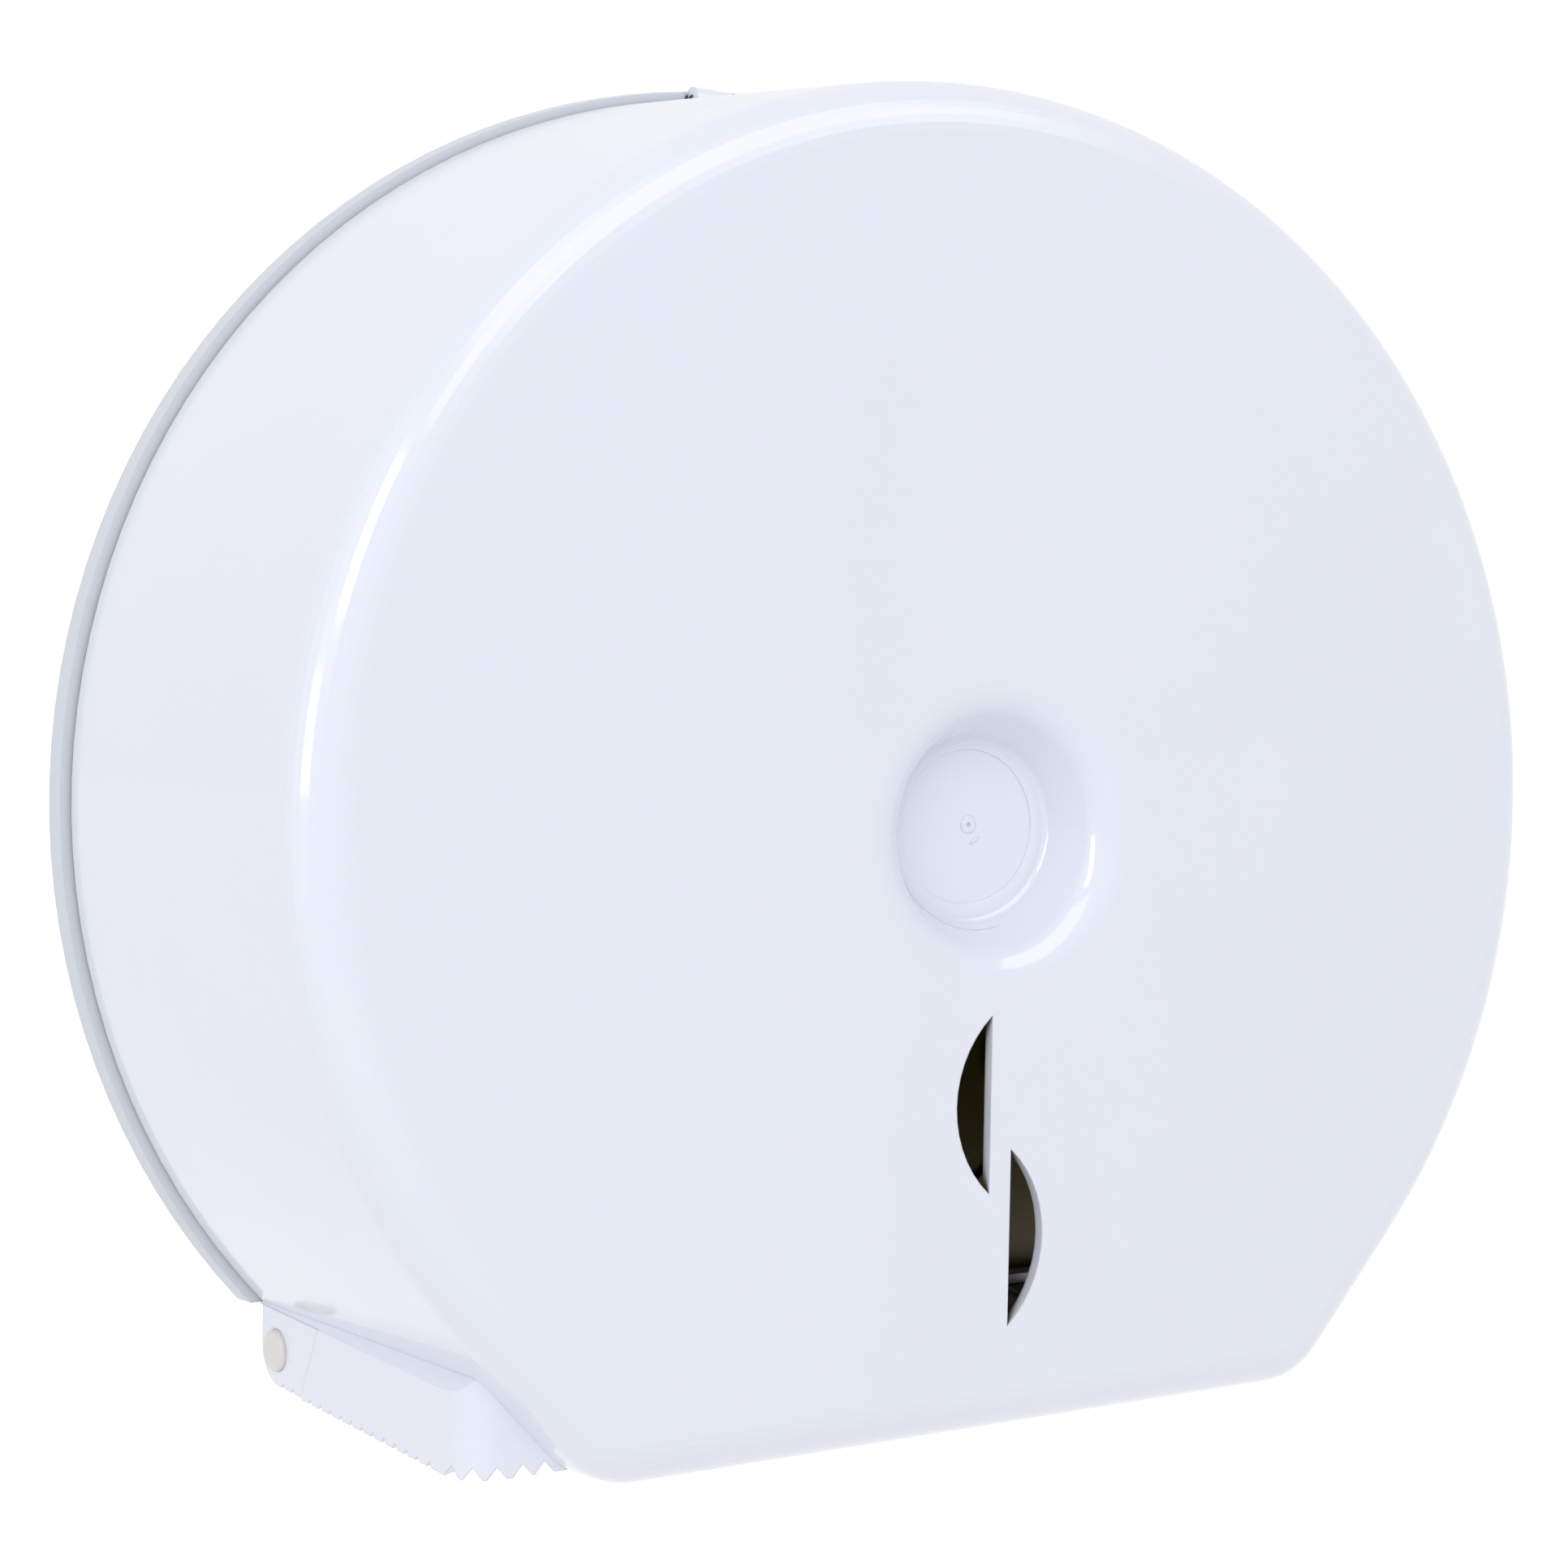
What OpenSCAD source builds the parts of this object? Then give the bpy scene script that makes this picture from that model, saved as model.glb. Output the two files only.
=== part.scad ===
// Jumbo toilet roll dispenser: wall plate, drum cover hinged at the top, turning
// roll hub on a fixed spindle, and a push-button latch in each tear-off nozzle.
// Frame: X to the right, -Y out of the wall, Z up; the origin lies on the wall,
// at the drum's centre. Inside forward() the same solids are drawn with X right,
// Y up and Z out of the wall.

/* [Drum cover] */
// Radius of the drum where its side meets the front fillet
front_r = 150; // [145:1:155]
// Distance from the wall to the front face
depth = 107.3; // [104:0.1:112]
// Draft of the drum's side and of the nozzles' outer walls, in degrees
draft = 10; // [8:0.5:11]
// Wall thickness of the cover
wall = 2.5; // [2:0.1:3]
// Fillet between the drum's side and its front face
front_fillet = 12; // [8:1:14]
// Distance from the drum's centre down to its flat bottom
bottom_drop = 129; // [126:1:132]
// Radius of the two corners beside the flat bottom
corner_r = 18; // [15:1:20]
// Depth of the lip that the flat bottom keeps behind the front face
lip_depth = 14; // [12:1:18]

/* [Dimple] */
// Radius at which the dimple starts on the front face
dimple_rim_r = 31.7; // [28:0.1:34]
// Radius of the dimple's flat floor
dimple_floor_r = 19; // [16:0.5:21]
// Depth of the dimple
dimple_depth = 14.5; // [10:0.5:15]
// Rounding of the dimple's rim
dimple_lip = 9; // [6:0.5:10]
// Distance of the dimple below the drum's centre
dimple_drop = 3.5; // [0:0.5:6]

/* [Level windows] */
// Height of each half-moon window along its straight edge
window_chord = 36.8; // [30:0.1:42]
// Greatest width of each half-moon window
window_bulge = 8.3; // [6:0.1:10]
// Distance between the two straight edges
window_gap = 5.2; // [4:0.1:8]
// Difference in height between the two windows
window_shift = 27.9; // [20:0.1:34]
// Distance from the drum's centre down to the middle of the pair
window_drop = 73; // [70:0.5:76]

/* [Nozzles] */
// Half width across the nozzles at their front corner
nozzle_front_x = 111.3; // [110:0.1:113]
// Distance from the wall to the left nozzle's front end
nozzle_depth = 91; // [88:1:93]
// Distance from the wall to the right nozzle's front end
short_depth = 76; // [70:1:80]
// Rounding of the nozzles' front corner
nozzle_corner = 9; // [6:1:11]
// Distance from the drum's centre down to the tips of the teeth
teeth_drop = 127; // [125.5:0.5:128]
// Height of the ridge along the nozzle above the tips of the teeth
ridge_up = 16.5; // [15.5:0.5:17.5]
// Spacing of the teeth
tooth_pitch = 4.5; // [4:0.1:5.5]
// Height of the teeth across the nozzles' front
tooth_h = 2.4; // [1.5:0.1:3]
// Height of the gaps between the teeth along the nozzles' sides
side_gap_h = 1.1; // [0.8:0.1:1.8]
// Width of those gaps at the edge
side_gap_w = 1.8; // [1.2:0.1:3]
// Rounding of the nozzle's rear lower corner
heel_r = 8; // [5:1:9]
// Set-back of the flat zone round the button
zone_step = 0.6; // [0.3:0.1:0.8]

/* [Back plate] */
// How far the plate stands out past the drum's side, both taken at the wall
plate_past = 2.2; // [2:0.1:3]
// Height of the plate's rim off the wall
rim_h = 5; // [4.5:0.1:5.5]
// Radial width of the rim
rim_w = 2.5; // [2:0.1:3]
// Taper of the rim's outer face over its height
rim_taper = 1.2; // [0.5:0.1:1.5]
// Thickness of the plate's web
web = 2.4; // [2:0.1:2.5]
// Gap between the rim and the closed cover
seam_gap = 1; // [0.8:0.1:1.5]
// Set-back of the plate's foot from the nozzles' rear edge
foot_back = 4; // [3.8:0.1:4.2]
// Distance from the drum's centre down to the plate's bottom edge
plate_drop = 126; // [125:0.5:127]
// Height of the rail along the plate's bottom edge off the wall
rail_h = 10; // [8:0.5:12]
// Half width of the rail
rail_x = 100; // [90:1:104]
// Half distance between the wall screws, across
screw_x = 75; // [65:1:85]
// Half distance between the wall screws, in height
screw_z = 70; // [60:1:80]
// Radius of the wall screw holes
screw_hole_r = 2.75; // [2:0.05:3]
// Radius of the pads round the wall screw holes
pad_r = 9; // [8:0.5:11]
// Thickness of the stiffening ribs
rib_t = 1.8; // [1.2:0.1:2.4]

/* [Hinge] */
// Distance of the hinge axis from the wall
hinge_u = 6.2; // [6.1:0.1:6.4]
// Distance of the hinge axis inside the drum's side
hinge_in = 2.3; // [2.2:0.1:2.6]
// Radius of the hinge barrels
barrel_r = 3.4; // [3:0.1:3.4]
// Radius of the hinge pin
pin_r = 1.5; // [1.2:0.1:1.8]
// Half length of the whole hinge
hinge_half = 25; // [22:1:28]
// Half length of the plate's middle barrel
middle_half = 14.6; // [12:0.2:16]

/* [Latch] */
// Radius of the push button's head
button_r = 4.5; // [4:0.1:4.8]
// Height of the head above the nozzle's wall
button_proud = 1.2; // [0.8:0.1:1.5]
// Radius of the flange that holds the button in
flange_r = 5.7; // [5.3:0.1:5.9]
// Thickness of the flange
flange_t = 1.2; // [1:0.1:1.5]
// Radius of the button's stem
stem_r = 2.5; // [2:0.1:3]
// Length of the stem behind the flange
stem_l = 2.7; // [2.4:0.1:3]
// Distance from the wall to the button's centre
button_u = 12.7; // [12.5:0.1:13.5]
// Height of the button's centre above the tips of the teeth
button_up = 7.6; // [7.2:0.1:8]
// Width of the latch spring
spring_w = 8; // [6:0.5:9]
// Thickness of the latch spring
spring_t = 0.6; // [0.4:0.1:0.8]
// Distance along the wall from the button's centre to the spring's screw
spring_reach = 24; // [20:1:28]
// Height of the hook at the spring's end
hook_h = 2; // [1.6:0.1:2.2]

/* [Spindle and hub] */
// Radius of the fixed spindle
spindle_r = 15; // [13:0.5:16]
// Radius of the spindle's foot flange
foot_r = 34; // [32:0.5:38]
// Thickness of the spindle's foot flange
foot_t = 3.5; // [3:0.1:4.5]
// Gap between the cap and the dimple's floor
cap_gap = 2.2; // [2:0.1:4]
// Radius of the circle of screws in the foot flange
foot_screw_pcd_r = 26; // [25:0.5:28]
// Thickness of the thrust washer behind the hub
washer_t = 1.5; // [1:0.1:2]
// Width of the thrust washer's ring
washer_w = 6; // [4:0.5:8]
// Thickness of the brake washer in front of the hub
brake_t = 2; // [1.5:0.1:3]
// Width of the brake washer's ring
brake_w = 5; // [4:0.5:6]
// Radius of the hub's tube
hub_r = 18.5; // [18:0.5:20]
// Radius over the hub's ribs
hub_rib_r = 22.4; // [21:0.1:24]
// Radius of the hub's rear flange
hub_flange_r = 45; // [40:1:50]
// Radius of the adaptor that carries a 60 mm core
adaptor_r = 28.6; // [27:0.1:29.5]
// Thickness of the adaptor's two walls
adaptor_wall = 1.6; // [1.2:0.1:2]
// Length of the hub's tube in front of the adaptor
hub_tip_l = 8.8; // [6:0.1:12]
// Radius of the cap at the spindle's end
cap_r = 21; // [19:0.5:22]
// Thickness of the cap
cap_t = 2.6; // [2:0.1:2.8]

/* [Hidden] */
$fn = 96;

run_gap = 0.06;                    // running clearance of shafts and buttons
seat_gap = 0.3;                    // clearance between pieces that only lie close
past = 1;                          // how far a cut runs past a face
lap = 0.8;                         // how far pieces of one solid run into each other
arc_steps = 10;                    // steps in a rounded edge
tooth_tip = 0.5;                   // flat left at a tooth's point
seam = rim_h + seam_gap;           // distance from the wall to the cover's rear edge
taper = tan(draft);

// The drum's flanks leave the circle at this angle below the horizontal. Its sine
// and cosine end after six digits, so that the pieces of the edge meet exactly.
flank_angle = atan2(0.658944, 0.752192);
reach = front_r - corner_r;
corner_z = bottom_drop - corner_r;
flank_len = (corner_z - reach * sin(flank_angle)) / cos(flank_angle);
corner_x = reach * cos(flank_angle) - flank_len * sin(flank_angle);

// Half width of a tapered outline at a distance u from the wall
function side_at(n, front, fillet, u) =
    n + taper * (front - fillet * (1 - sin(draft)) - u);
function drum_r(u) = side_at(front_r, depth, front_fillet, u);
function nozzle_x(u) = side_at(nozzle_front_x, nozzle_depth, nozzle_corner, u);
// Half width at the front corner of a nozzle that ends at the given distance
function corner_at(front) = nozzle_front_x + taper * (nozzle_depth - front);

ridge_drop = teeth_drop - ridge_up;
button_drop = teeth_drop - button_up;
block_up = 10;                     // how far the nozzles reach up into the drum
plate_r = drum_r(0) + plate_past;
hinge_z = drum_r(hinge_u) - hinge_in;

zone_x = nozzle_x(button_u) - zone_step / cos(draft);   // button zone's outer face
zone_wall = wall - zone_step;                           // wall thickness in that zone
seat_z = -zone_wall - run_gap;                          // flange's outer face
spring_z = seat_z - flange_t - stem_l;                  // latch spring's outer face
hook_x = 7.9;                      // distance of the hook behind the button's centre
foot_x = nozzle_x(seam) - foot_back;                    // half width of the foot
foot_wall = 1.8;                   // thickness of the foot's upright edge
lip_u = 4.5;                       // underside of the keeper's lip, off the wall
keeper_u = 5.8;                    // top of the keeper, off the wall
keeper_post = 1.6;                 // width of the keeper's two posts
spigot_l = 6;                      // length of the cap's spigot
head_sink = 1.2;                   // how far the foot's screw heads are let in
crease_top = 33;                                        // button zone's front edge
crease_foot = 24.6;
latch_screw_r = 1.2;
latch_boss_r = 3.5;
head_r = 3;
head_t = 1.6;
foot_screw_r = 1.75;
cap_screw_r = 1.75;
pillar_r = 4.2;
tube_wall = 3;
window_r = window_chord * window_chord / (8 * window_bulge) + window_bulge / 2;
boss_h = rim_h;                    // height of the plate's spindle boss
foot_top = boss_h + foot_t;
spindle_end = depth - dimple_depth - wall - cap_gap - cap_t;
hub_back = foot_top + washer_t + seat_gap / 3;
hub_front = spindle_end - brake_t - seat_gap / 3;
hub_flange_t = 2.5;
adaptor_l = hub_front - hub_back - hub_flange_t - hub_tip_l;

// Draws its children with Z out of the wall, then turns Z to -Y
module forward() {
    rotate([90, 0, 0]) children();
}

module both_sides() {
    children();
    mirror([1, 0, 0]) children();
}

// Draws its children for the short right nozzle and, mirrored, for the left one
module each_nozzle() {
    let($front = short_depth) children();
    mirror([1, 0, 0]) let($front = nozzle_depth) children();
}

// Outline of a tapered side with a filleted front edge: x is the distance out
// from the middle, y the distance u from the wall
module side_outline(n, front, fillet, inset, from_u) {
    c = [n - fillet * cos(draft), front - fillet];
    r = fillet - inset;
    turn = 90 - draft;
    rear_x = n - inset * cos(draft) + taper * (c[1] + r * sin(draft) - from_u);
    arc = [for (i = [0 : arc_steps]) let (a = draft + turn * i / arc_steps)
               c + r * [cos(a), sin(a)]];
    polygon(concat([[0, from_u], [rear_x, from_u]], arc, [[0, front - inset]]));
}

// Outline of the drum's edge, drawn out from the axis of its lower corners
module edge_outline(inset, from_u) {
    side_outline(corner_r, depth, front_fillet, inset, from_u);
}

// Right half of what lies inside the drum's edge, with a small overlap
module drum_core() {
    r = reach + lap;
    difference() {
        circle(r, $fn = 180);
        both_sides() rotate(-flank_angle) translate([0, -2 * r]) square(2 * r);
    }
    both_sides() {
        rotate(-flank_angle) translate([0, -flank_len - lap])
            square([r, flank_len + 2 * lap]);
        translate([-lap, -corner_z - lap])
            square([corner_x + 2 * lap, corner_z * 2 / 3]);
    }
}

// Lower corner of the drum and half of its bottom, from the corner's axis
module corner_and_bottom(inset, from_u) {
    far = 3 * corner_r;
    intersection() {
        rotate_extrude() edge_outline(inset, from_u);
        translate([-far, -far, 0]) cube([2 * far, far, 2 * depth]);
        rotate([0, 0, flank_angle]) translate([0, -far, 0])
            cube([far, 2 * far, 2 * depth]);
    }
    rotate([0, 0, flank_angle]) rotate([90, 0, -90])
        linear_extrude(corner_x + lap) edge_outline(inset, from_u);
}

// The drum with its flanks, corners and flat bottom, inset by a wall thickness
module drum(inset, from_u) {
    intersection() {
        union() {
            difference() {
                rotate_extrude($fn = 180)
                    translate([reach, 0]) edge_outline(inset, from_u);
                both_sides() rotate([0, 0, -flank_angle])
                    translate([0, -2 * front_r, 0])
                        cube([2 * front_r, 2 * front_r, 2 * depth]);
            }
            both_sides() rotate([0, 0, -flank_angle]) {
                rotate([90, 0, 0]) linear_extrude(flank_len)
                    translate([reach, 0]) edge_outline(inset, from_u);
                translate([reach, -flank_len, 0]) corner_and_bottom(inset, from_u);
            }
            translate([0, 0, from_u]) linear_extrude(depth - inset - from_u) drum_core();
        }
        translate([-2 * front_r, inset - bottom_drop - lap, 0])
            cube([4 * front_r, 4 * front_r, 2 * depth]);
    }
}

// Block of one nozzle from inside the drum down to a level below the centre
module nozzle_block(inset, from_u, level) {
    top = ridge_drop - block_up;
    inner = corner_x - nozzle_corner;
    intersection() {
        translate([0, -top, 0]) rotate([90, 0, 0]) linear_extrude(level - top)
            side_outline(corner_at($front), $front, nozzle_corner, inset, from_u);
        translate([inner, -level - past, from_u])
            cube([nozzle_front_x, level, nozzle_depth]);
    }
}

// Frame on the nozzle's side at a distance u from the wall: X to the rear along
// the face, Y up, Z out through the wall
module on_side(x, u, drop) {
    translate([x, -drop, u]) rotate([0, 90 - draft, 0]) children();
}

// Frame at the middle of the button, on the zone's outer face
module at_button() {
    on_side(zone_x, button_u, button_drop) children();
}

// What lies above the roof that slopes from the nozzle's ridge up to the drum
module above_roof(inset) {
    on_side(nozzle_x(0), 0, ridge_drop) rotate([45, 0, 0])
        translate([-2 * depth, -inset, -depth / 2]) cube([3 * depth, depth, depth]);
}

// Step back of the zone round the button, with its slanted front edge
module zone_cut() {
    on_side(nozzle_x(0), 0, 0) translate([0, 0, -zone_step])
        linear_extrude(2 * wall)
            polygon([[wall, -ridge_drop], [-crease_top, -ridge_drop],
                     [-crease_foot, -teeth_drop - past], [wall, -teeth_drop - past]]);
}

// Rounding of the nozzle's rear lower corner
module heel_cut() {
    c = [seam + heel_r, -teeth_drop + heel_r];
    translate([corner_x, 0, 0]) rotate([0, 90, 0])
        linear_extrude(nozzle_front_x) difference() {
            translate([-c[0], c[1] - 2 * heel_r]) square([2 * heel_r, 2 * heel_r]);
            translate([-c[0], c[1]]) circle(heel_r);
        }
}

module tooth_gap(w, h) {
    linear_extrude(3 * wall, center = true)
        polygon([[-w / 2, -past], [-w / 2, 0], [0, h], [w / 2, 0], [w / 2, -past]]);
}

// Gaps between the teeth, along the side and across the nozzle's front end
module tooth_gaps() {
    run = ($front - nozzle_corner - seam - heel_r) / cos(draft);
    side_count = floor(run / tooth_pitch);
    cx = corner_at($front) - nozzle_corner * cos(draft);
    gap_w = tooth_pitch - tooth_tip;
    for (i = [0 : side_count - 1])
        on_side(nozzle_x(seam + heel_r), seam + heel_r, teeth_drop)
            translate([-(i + 0.5) * tooth_pitch, 0, 0]) tooth_gap(side_gap_w, side_gap_h);
    for (a = [25, 55, 85])
        translate([cx, -teeth_drop, $front - nozzle_corner])
            rotate([0, 90 - a, 0]) translate([0, 0, nozzle_corner])
                tooth_gap(gap_w, tooth_h);
    for (i = [1 : 2])
        translate([cx - i * tooth_pitch, -teeth_drop, $front]) tooth_gap(gap_w, tooth_h);
}

// Cut for the half-moon window whose straight edge faces the centreline
module half_moon() {
    intersection() {
        translate([window_bulge - window_r, 0, 0])
            cylinder(r = window_r, h = 3 * wall, center = true);
        translate([0, -window_chord, -2 * wall])
            cube([window_bulge + past, 2 * window_chord, 4 * wall]);
    }
}

module windows() {
    translate([0, -window_drop, depth]) for (turn = [0, 180])
        rotate([0, 0, turn])
            translate([window_gap / 2, -window_shift / 2, 0]) half_moon();
}

// Outline of the dimple's funnel: the lip's arc, a straight cone and a flat floor
module dimple_outline(grow) {
    floor_r = dimple_floor_r + grow;
    c = [dimple_rim_r, -dimple_lip];
    rho = dimple_lip - grow;
    f = [floor_r, -dimple_depth - grow];
    d = norm(c - f);
    lean = atan2(c[1] - f[1], c[0] - f[0]) + asin(rho / d);
    t = f + sqrt(d * d - rho * rho) * [cos(lean), sin(lean)];
    difference() {
        polygon([[0, f[1]], f, t, c, [c[0], past], [0, past]]);
        translate(c) circle(rho);
    }
}

module dimple(grow) {
    translate([0, -dimple_drop, depth]) rotate_extrude() dimple_outline(grow);
}

module hinge_axis(half, r) {
    translate([0, hinge_z, hinge_u]) rotate([0, 90, 0])
        cylinder(r = r, h = 2 * half, center = true, $fn = 48);
}

// Space that the plate's barrel and its bracket need in the cover's edge
module hinge_notch() {
    half = middle_half + seat_gap;
    hinge_axis(half, barrel_r + 2 * seat_gap);
    translate([-half, hinge_z - barrel_r - 2 * seat_gap, -past])
        cube([2 * half, 3 * barrel_r, hinge_u + past]);
}

// The cover's two barrels, each on a lug under the drum's wall
module hinge_lugs() {
    inner = middle_half + seat_gap;
    lug_w = hinge_half - inner;
    lug_l = 2 * barrel_r;
    both_sides() {
        intersection() {
            translate([inner, hinge_z - lug_l, seam]) cube([lug_w, 2 * lug_l, lug_l]);
            cylinder(r = drum_r(seam + lug_l) - wall / 2, h = depth, $fn = 180);
        }
        translate([inner, hinge_z, hinge_u]) rotate([0, 90, 0])
            cylinder(r = barrel_r, h = lug_w, $fn = 48);
    }
}

// Opening of the drum's bottom into a nozzle: it reaches the front lip, and
// nothing beside it hangs lower than the teeth
module outlet() {
    translate([corner_x, -2 * bottom_drop, -past])
        cube([nozzle_corner / 2, bottom_drop + wall + past, depth - lip_depth + past]);
    translate([corner_x, -2 * bottom_drop, -past])
        cube([front_r, 2 * bottom_drop - teeth_drop, nozzle_depth + past]);
}

module front_cover() {
    color([0.90, 0.92, 0.96]) forward() difference() {
        union() {
            difference() {
                union() {
                    drum(0, seam);
                    each_nozzle() difference() {
                        nozzle_block(0, seam, teeth_drop);
                        above_roof(0);
                    }
                }
                difference() {
                    drum(wall, seam - past);
                    dimple(wall);
                }
                each_nozzle() difference() {
                    nozzle_block(wall, seam - past, bottom_drop + past);
                    above_roof(wall);
                }
                each_nozzle() {
                    outlet();
                    zone_cut();
                    heel_cut();
                    tooth_gaps();
                }
                windows();
                dimple(0);
            }
            hinge_lugs();
            both_sides() at_button() translate([-spring_reach, 0, spring_z])
                cylinder(r = latch_boss_r, h = -spring_z - wall / 2, $fn = 32);
        }
        hinge_notch();
        hinge_axis(hinge_half + past, pin_r + run_gap);
        both_sides() {
            at_button() translate([0, 0, -2 * wall])
                cylinder(r = button_r + run_gap, h = 4 * wall, $fn = 48);
            at_button() translate([-spring_reach, 0, spring_z - past])
                cylinder(r = latch_screw_r, h = past + flange_t + stem_l, $fn = 24);
        }
    }
}

// Outline of the plate, inset by a wall thickness: a disc, and below it the foot
module plate_outline(inset) {
    w = foot_x - inset;
    r = heel_r - inset;
    bottom = inset - plate_drop;
    intersection() {
        circle(plate_r - rim_taper - inset, $fn = 180);
        translate([-2 * plate_r, -ridge_drop]) square(4 * plate_r);
    }
    translate([r - w, bottom]) square([2 * (w - r), plate_drop / 2]);
    translate([-w, bottom + r]) square([2 * w, plate_drop / 2]);
    both_sides() translate([w - r, bottom + r]) circle(r);
}

// Rim round the plate's circle, open at the foot and cut away for the hinge
module plate_rim() {
    top_r = plate_r - rim_taper;
    difference() {
        rotate_extrude($fn = 180)
            polygon([[top_r - rim_w, 0], [plate_r, 0], [top_r, rim_h],
                     [top_r - rim_w, rim_h]]);
        translate([-2 * plate_r, -4 * plate_r - ridge_drop, -past])
            cube([4 * plate_r, 4 * plate_r, 2 * rim_h]);
        translate([-hinge_half - past, hinge_z - 4 * barrel_r, web])
            cube([2 * (hinge_half + past), plate_r, rim_h]);
    }
}

// Upright edge of the foot, raised on each side to a keeper: the latch spring's
// hook goes into the keeper's slot and catches under its lip
module plate_foot() {
    slot_w = spring_w + 2 * seat_gap;
    keeper_w = slot_w + 2 * keeper_post;
    difference() {
        union() {
            linear_extrude(rim_h) difference() {
                plate_outline(0);
                plate_outline(foot_wall);
                translate([-2 * plate_r, -ridge_drop]) square(4 * plate_r);
            }
            both_sides() linear_extrude(keeper_u) intersection() {
                plate_outline(0);
                translate([foot_x - foot_wall, -button_drop - keeper_w / 2])
                    square([2 * foot_wall, keeper_w]);
            }
        }
        both_sides() translate([foot_x - foot_wall, -button_drop - slot_w / 2, web]) {
            translate([-heel_r, 0, 0]) cube([heel_r, slot_w, 2 * keeper_u]);
            translate([-past, 0, 0]) cube([foot_wall + 2 * past, slot_w, lip_u - web]);
        }
    }
    translate([-rail_x, -plate_drop, 0]) cube([2 * rail_x, rim_w, rail_h]);
}

// Radial ribs and one round rib between the spindle's boss and the rim
module plate_ribs() {
    ring_r = 0.7 * plate_r;
    linear_extrude(rim_h - 2 * seat_gap) intersection() {
        union() {
            for (i = [0 : 7])
                rotate([0, 0, 22.5 + 45 * i]) translate([foot_r, -rib_t / 2])
                    square([plate_r, rib_t]);
            difference() {
                circle(ring_r + rib_t / 2);
                circle(ring_r - rib_t / 2);
            }
        }
        plate_outline(rim_w / 2);
    }
}

module wall_screws_at() {
    for (sx = [-1, 1], sz = [-1, 1])
        translate([sx * screw_x, sz * screw_z, 0]) children();
}

module foot_screws_at() {
    for (i = [0 : 3])
        rotate([0, 0, 45 + 90 * i]) translate([foot_screw_pcd_r, 0, 0]) children();
}

module back_plate() {
    color([0.80, 0.83, 0.86]) forward() difference() {
        union() {
            linear_extrude(web) plate_outline(0);
            plate_rim();
            plate_foot();
            plate_ribs();
            cylinder(r = foot_r + 2, h = boss_h);
            wall_screws_at() cylinder(r = pad_r, h = rim_h, $fn = 48);
            hinge_axis(middle_half, barrel_r);
            translate([-middle_half, hinge_z - barrel_r, 0])
                cube([2 * middle_half, 1.5 * barrel_r, hinge_u]);
        }
        hinge_axis(middle_half + past, pin_r);
        wall_screws_at() translate([0, 0, -past])
            cylinder(r = screw_hole_r, h = rim_h + 2 * past, $fn = 32);
        foot_screws_at() translate([0, 0, web / 2])
            cylinder(r = foot_screw_r, h = rim_h, $fn = 24);
    }
}

module hinge_pin() {
    color([0.72, 0.73, 0.75]) forward() hinge_axis(hinge_half, pin_r);
}

module button_outline() {
    round_r = button_proud * 2 / 3;
    polygon([[0, seat_z], [button_r, seat_z], [button_r, button_proud - round_r],
             [button_r - round_r, button_proud - round_r],
             [button_r - round_r, button_proud], [0, button_proud]]);
    translate([button_r - round_r, button_proud - round_r]) circle(round_r, $fn = 32);
    translate([0, seat_z - flange_t]) square([flange_r, flange_t]);
    translate([0, spring_z]) square([stem_r, stem_l]);
}

// Push button that slides in the cover's wall
module release_button() {
    color([0.93, 0.91, 0.86]) forward() at_button()
        rotate_extrude($fn = 64) button_outline();
}

module release_button_right() {
    release_button();
}

module release_button_left() {
    mirror([1, 0, 0]) release_button();
}

// Spring strip, held by its screw in front, hooked at its rear end
module latch_spring() {
    front = spring_reach + spring_w / 2;
    color([0.76, 0.77, 0.78]) forward() at_button() difference() {
        translate([-front, -spring_w / 2, spring_z - spring_t]) {
            cube([front + hook_x + spring_t, spring_w, spring_t]);
            translate([front + hook_x, 0, 0]) cube([spring_t, spring_w, spring_t + hook_h]);
        }
        translate([-spring_reach, 0, spring_z - 2 * spring_t])
            cylinder(r = latch_screw_r, h = 3 * spring_t, $fn = 24);
    }
}

module latch_spring_right() {
    latch_spring();
}

module latch_spring_left() {
    mirror([1, 0, 0]) latch_spring();
}

// Screw with its shank along +Z from the underside of its head
module screw(shank_r, shank_l) {
    cylinder(r = shank_r, h = shank_l, $fn = 24);
    translate([0, 0, -head_t]) cylinder(r = head_r, h = head_t, $fn = 32);
}

module latch_screws() {
    color([0.72, 0.73, 0.75]) forward() both_sides() at_button()
        translate([-spring_reach, 0, spring_z - spring_t])
            screw(latch_screw_r, spring_t + stem_l);
}

module spindle() {
    inner_r = spindle_r - tube_wall;
    color([0.78, 0.80, 0.83]) forward() difference() {
        rotate_extrude() difference() {
            union() {
                translate([0, boss_h]) square([foot_r, foot_t]);
                translate([0, boss_h]) square([spindle_r, spindle_end - boss_h]);
            }
            translate([pillar_r, foot_top]) square([inner_r - pillar_r, spindle_end]);
            translate([0, spindle_end - spigot_l]) square([inner_r, 2 * spigot_l]);
            translate([0, spindle_end - 3 * spigot_l]) square([cap_screw_r, 3 * spigot_l]);
        }
        foot_screws_at() {
            translate([0, 0, boss_h - past])
                cylinder(r = foot_screw_r + seat_gap, h = foot_t + 2 * past, $fn = 24);
            translate([0, 0, foot_top - head_sink])
                cylinder(r = head_r + seat_gap, h = foot_t, $fn = 32);
        }
    }
}

module spindle_screws() {
    color([0.72, 0.73, 0.75]) forward() foot_screws_at()
        translate([0, 0, foot_top - head_sink]) mirror([0, 0, 1])
            screw(foot_screw_r, foot_top - head_sink - web / 2);
}

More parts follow.
